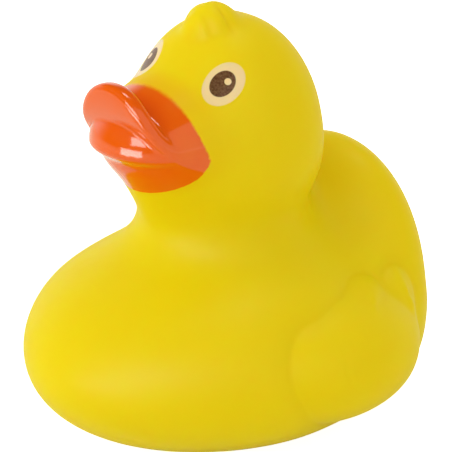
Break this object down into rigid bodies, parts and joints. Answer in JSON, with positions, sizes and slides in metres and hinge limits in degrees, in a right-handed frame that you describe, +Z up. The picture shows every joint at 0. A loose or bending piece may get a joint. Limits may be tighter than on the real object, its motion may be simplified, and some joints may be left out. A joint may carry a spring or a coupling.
{
  "type": "squishy toy duck",
  "caption": "Soft hollow bath duck with an upturned tail, raised wings, a tuft on its head and a painted bill, to squeeze and to float.",
  "frame": {"origin": "on the surface that the duck stands on, under the middle of its length and width", "axes": "the duck looks along -Y, its left side is +X, +Z up"},
  "size_m": [0.071, 0.0767, 0.0759],
  "materials": {
    "vinyl": "satin soft vinyl, yellow, with a glossy orange painted bill and printed eyes"
  },
  "bodies": {
    "root": {"duck": "vinyl"}
  },
  "joints": []
}
